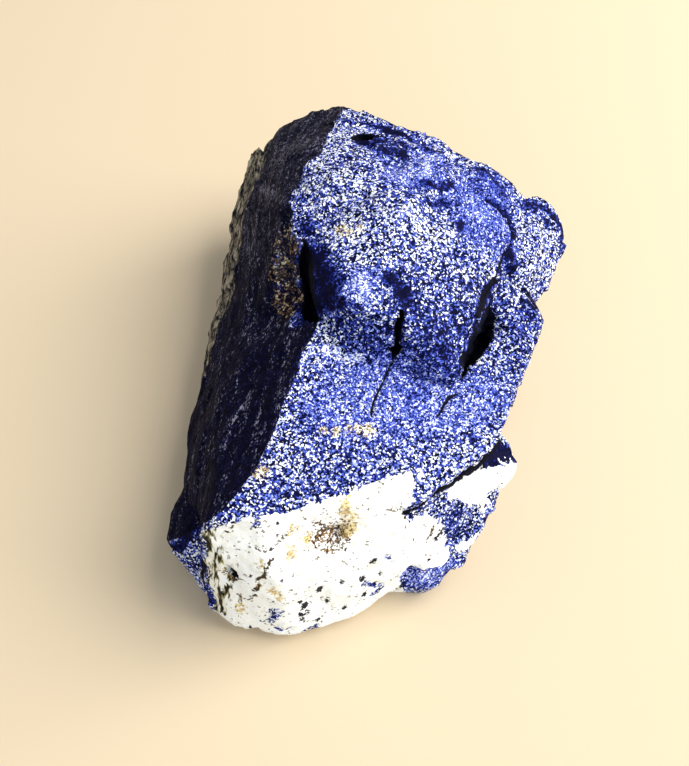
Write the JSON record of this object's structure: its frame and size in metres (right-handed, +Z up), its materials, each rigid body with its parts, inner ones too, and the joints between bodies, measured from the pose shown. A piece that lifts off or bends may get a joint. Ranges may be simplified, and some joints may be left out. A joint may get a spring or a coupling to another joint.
{
  "type": "rough lapis lazuli stone",
  "caption": "Rough block of blue lapis lazuli with a white calcite end, a raised upper lump, a stepped facet, open clefts and a flat underside to rest on.",
  "frame": {"origin": "middle of the bounding box at the level of the underside", "axes": "+Z up from the underside the stone rests on, +Y along its length away from the white calcite end, +X towards the knob, away from the long shaded flank"},
  "size_m": [0.0882, 0.1212, 0.056],
  "materials": {
    "lapis": "rough, freshly broken, with a white calcite end"
  },
  "bodies": {
    "root": {"lapis_stone": "lapis"}
  },
  "joints": []
}
